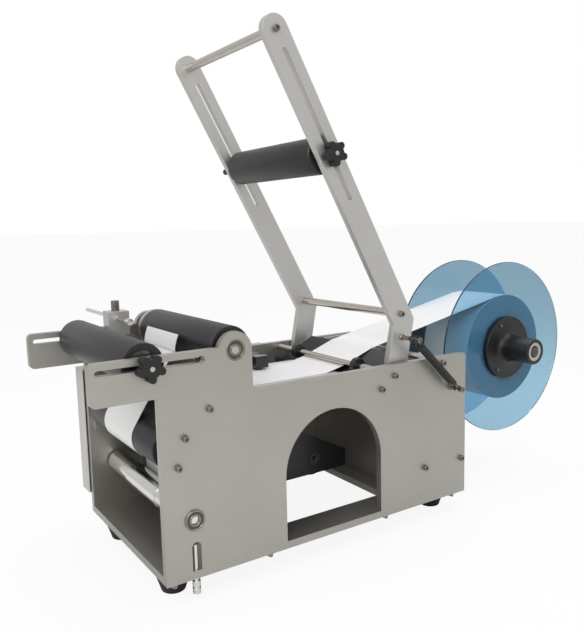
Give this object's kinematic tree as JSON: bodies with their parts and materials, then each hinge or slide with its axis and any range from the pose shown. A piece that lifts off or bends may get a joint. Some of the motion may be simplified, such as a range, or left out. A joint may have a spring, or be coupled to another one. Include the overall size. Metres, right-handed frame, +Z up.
{
  "type": "bottle labelling machine",
  "caption": "Bench labeller for round bottles: slotted aluminium frame, rubber rollers, swinging press arm with return springs, and a blue disc reel that feeds the label web.",
  "frame": {"origin": "on the floor, at the middle of the near left foot", "axes": "+X towards the label reel, +Y away from the side with the press springs, +Z up"},
  "size_m": [0.92, 0.4355, 0.7023],
  "materials": {
    "base_plate": "bead-blasted",
    "near_side_plate": "bead-blasted",
    "far_side_plate": "bead-blasted",
    "rear_cross_panel": "bead-blasted",
    "bay_panel": "satin",
    "label_table": "brushed",
    "peel_plate": "brushed",
    "web_slope_guide": "satin black",
    "cross_rods": "polished",
    "machine_screws": "blackened",
    "rubber_feet": "matte",
    "shaft_bearings": "ground",
    "bearing_blocks": "machined",
    "motor_bracket": "satin black",
    "gear_motors": "satin",
    "timing_belts": "matte",
    "drive_cover": "satin",
    "control_panel": "satin black",
    "cable_sockets": "moulded",
    "stop_block": "machined",
    "label_sensor": "moulded",
    "reel_bracket": "bead-blasted",
    "reel_shaft": "ground",
    "label_web": "smooth",
    "liner_web": "smooth",
    "near_press_arm": "bead-blasted",
    "far_press_arm": "bead-blasted",
    "arm_cross_rods": "ground",
    "arm_fasteners": "blackened",
    "press_axle": "ground",
    "press_roller": "ground matte",
    "near_press_knob": "moulded",
    "far_press_knob": "moulded",
    "front_axle": "ground",
    "front_roller": "ground matte",
    "near_front_knob": "moulded",
    "far_front_knob": "moulded",
    "drive_roller": "ground matte",
    "drive_shaft": "ground",
    "drive_motor_pulley": "machined",
    "traction_roller": "ground matte",
    "traction_shaft": "ground",
    "feed_motor_pulley": "machined",
    "take_up_spool": "polished, wound with liner",
    "back_reel_disc": "clear blue acrylic, polished",
    "reel_core": "moulded",
    "label_roll": "smooth",
    "front_reel_disc": "clear blue acrylic, polished",
    "reel_hub": "turned",
    "lower_spring_eyes": "drawn wire",
    "tension_springs": "drawn wire",
    "upper_spring_eyes": "drawn wire",
    "stop_rod": "ground",
    "stop_thumbscrew": "knurled",
    "release_plunger": "turned",
    "start_button": "moulded",
    "power_switch": "moulded",
    "near_web_collar": "moulded",
    "far_web_collar": "moulded"
  },
  "bodies": {
    "frame": {"base_plate": "base_plate", "near_side_plate": "near_side_plate", "far_side_plate": "far_side_plate", "rear_cross_panel": "rear_cross_panel", "bay_panel": "bay_panel", "label_table": "label_table", "peel_plate": "peel_plate", "web_slope_guide": "web_slope_guide", "cross_rods": "cross_rods", "machine_screws": "machine_screws", "rubber_feet": "rubber_feet", "shaft_bearings": "shaft_bearings", "bearing_blocks": "bearing_blocks", "motor_bracket": "motor_bracket", "gear_motors": "gear_motors", "timing_belts": "timing_belts", "drive_cover": "drive_cover", "control_panel": "control_panel", "cable_sockets": "cable_sockets", "stop_block": "stop_block", "label_sensor": "label_sensor", "reel_bracket": "reel_bracket", "reel_shaft": "reel_shaft", "label_web": "label_web", "liner_web": "liner_web"},
    "press_arm": {"near_press_arm": "near_press_arm", "far_press_arm": "far_press_arm", "arm_cross_rods": "arm_cross_rods", "arm_fasteners": "arm_fasteners"},
    "press_carriage": {"press_axle": "press_axle"},
    "press_roller_body": {"press_roller": "press_roller"},
    "near_press_knob_body": {"near_press_knob": "near_press_knob"},
    "far_press_knob_body": {"far_press_knob": "far_press_knob"},
    "front_carriage": {"front_axle": "front_axle"},
    "front_roller_body": {"front_roller": "front_roller"},
    "near_front_knob_body": {"near_front_knob": "near_front_knob"},
    "far_front_knob_body": {"far_front_knob": "far_front_knob"},
    "drive_roller_body": {"drive_roller": "drive_roller", "drive_shaft": "drive_shaft"},
    "drive_motor_body": {"drive_motor_pulley": "drive_motor_pulley"},
    "traction_body": {"traction_roller": "traction_roller", "traction_shaft": "traction_shaft"},
    "feed_motor_body": {"feed_motor_pulley": "feed_motor_pulley"},
    "take_up_body": {"take_up_spool": "take_up_spool"},
    "reel": {"back_reel_disc": "back_reel_disc", "reel_core": "reel_core", "label_roll": "label_roll"},
    "reel_clamp": {"front_reel_disc": "front_reel_disc", "reel_hub": "reel_hub"},
    "spring_link": {"lower_spring_eyes": "lower_spring_eyes", "tension_springs": "tension_springs"},
    "spring_hook": {"upper_spring_eyes": "upper_spring_eyes"},
    "stop_rod_body": {"stop_rod": "stop_rod"},
    "stop_thumbscrew_body": {"stop_thumbscrew": "stop_thumbscrew"},
    "release_plunger_body": {"release_plunger": "release_plunger"},
    "start_button_body": {"start_button": "start_button"},
    "power_switch_body": {"power_switch": "power_switch"},
    "near_collar_body": {"near_web_collar": "near_web_collar"},
    "far_collar_body": {"far_web_collar": "far_web_collar"}
  },
  "joints": [
    {"name": "press_arm_hinge", "type": "hinge", "parent": "frame", "child": "press_arm", "pos_m": [0.343, 0.091, 0.233], "axis": [0, -1, 0], "range_deg": [0, 45], "stiffness_Nm_per_rad": 8, "springref_deg": -45.84},
    {"name": "press_carriage_slide", "type": "slide", "parent": "press_arm", "child": "press_carriage", "axis": [-0.4818, 0, 0.8763], "range_m": [-0.06, 0.13]},
    {"name": "press_roller_spin", "type": "hinge", "parent": "press_carriage", "child": "press_roller_body", "pos_m": [0.23084, 0.091, 0.53885], "axis": [0, -1, 0], "continuous": true},
    {"name": "near_press_knob_turn", "type": "hinge", "parent": "press_carriage", "child": "near_press_knob_body", "pos_m": [0.23084, -0.043, 0.53885], "axis": [0, -1, 0], "range_deg": [0, 270]},
    {"name": "far_press_knob_turn", "type": "hinge", "parent": "press_carriage", "child": "far_press_knob_body", "pos_m": [0.23084, 0.225, 0.53885], "axis": [0, 1, 0], "range_deg": [0, 270]},
    {"name": "front_carriage_slide", "type": "slide", "parent": "frame", "child": "front_carriage", "axis": [1, 0, 0], "range_m": [-0.055, 0.018]},
    {"name": "front_roller_spin", "type": "hinge", "parent": "front_carriage", "child": "front_roller_body", "pos_m": [-0.038, 0.091, 0.296], "axis": [0, -1, 0], "continuous": true},
    {"name": "near_front_knob_turn", "type": "hinge", "parent": "front_carriage", "child": "near_front_knob_body", "pos_m": [-0.038, -0.056, 0.296], "axis": [0, -1, 0], "range_deg": [0, 270]},
    {"name": "far_front_knob_turn", "type": "hinge", "parent": "front_carriage", "child": "far_front_knob_body", "pos_m": [-0.038, 0.238, 0.296], "axis": [0, 1, 0], "range_deg": [0, 270]},
    {"name": "drive_roller_spin", "type": "hinge", "parent": "frame", "child": "drive_roller_body", "pos_m": [0.074, 0.091, 0.302], "axis": [0, -1, 0], "continuous": true},
    {"name": "drive_motor_spin", "type": "hinge", "parent": "frame", "child": "drive_motor_body", "pos_m": [0.152, 0.2095, 0.14], "axis": [0, -1, 0], "continuous": true},
    {"name": "traction_roller_spin", "type": "hinge", "parent": "frame", "child": "traction_body", "pos_m": [-0.002, 0.091, 0.189], "axis": [0, -1, 0], "continuous": true},
    {"name": "feed_motor_spin", "type": "hinge", "parent": "frame", "child": "feed_motor_body", "pos_m": [0.254, 0.2425, 0.102], "axis": [0, -1, 0], "continuous": true},
    {"name": "take_up_spin", "type": "hinge", "parent": "frame", "child": "take_up_body", "pos_m": [0.011, 0.091, 0.104], "axis": [0, -1, 0], "continuous": true},
    {"name": "reel_spin", "type": "hinge", "parent": "frame", "child": "reel", "pos_m": [0.664, 0.091, 0.224], "axis": [0, -1, 0], "continuous": true},
    {"name": "reel_clamp_slide", "type": "slide", "parent": "reel", "child": "reel_clamp", "axis": [0, -1, 0], "range_m": [0, 0.06]},
    {"name": "spring_link_swing", "type": "hinge", "parent": "frame", "child": "spring_link", "pos_m": [0.44, -0.0615, 0.201], "axis": [0, -1, 0], "range_deg": [-2, 16]},
    {"name": "spring_hook_stretch", "type": "slide", "parent": "spring_link", "child": "spring_hook", "axis": [-0.7177, 0, 0.6964], "range_m": [-0.002, 0.032]},
    {"name": "stop_rod_slide", "type": "slide", "parent": "frame", "child": "stop_rod_body", "axis": [0, 1, 0], "range_m": [-0.06, 0.03]},
    {"name": "stop_thumbscrew_turn", "type": "hinge", "parent": "frame", "child": "stop_thumbscrew_body", "pos_m": [0.023, 0.225, 0.333], "axis": [0, 0, 1], "range_deg": [0, 270]},
    {"name": "release_plunger_pull", "type": "slide", "parent": "frame", "child": "release_plunger_body", "axis": [0, 0, -1], "range_m": [0, 0.008], "stiffness_N_per_m": 400, "springref_m": -0.004},
    {"name": "start_button_press", "type": "slide", "parent": "frame", "child": "start_button_body", "axis": [0, -1, 0], "range_m": [0, 0.0025], "stiffness_N_per_m": 400, "springref_m": -0.002},
    {"name": "power_switch_rock", "type": "hinge", "parent": "frame", "child": "power_switch_body", "pos_m": [0.26, 0.2665, 0.16], "axis": [1, 0, 0], "range_deg": [-8, 8]},
    {"name": "near_collar_slide", "type": "slide", "parent": "frame", "child": "near_collar_body", "axis": [0, 1, 0], "range_m": [-0.02, 0.025]},
    {"name": "far_collar_slide", "type": "slide", "parent": "frame", "child": "far_collar_body", "axis": [0, 1, 0], "range_m": [-0.012, 0.03]}
  ],
  "couplings": [
    {"joint": "drive_motor_spin", "follows": "drive_roller_spin", "ratio": 1.6667},
    {"joint": "feed_motor_spin", "follows": "traction_roller_spin", "ratio": 1.6667},
    {"joint": "take_up_spin", "follows": "traction_roller_spin", "ratio": 1.8182},
    {"joint": "reel_spin", "follows": "traction_roller_spin", "ratio": 0.2957},
    {"joint": "spring_link_swing", "follows": "press_arm_hinge", "ratio": 0.281},
    {"joint": "spring_hook_stretch", "follows": "press_arm_hinge", "m_per_rad": 0.036}
  ]
}
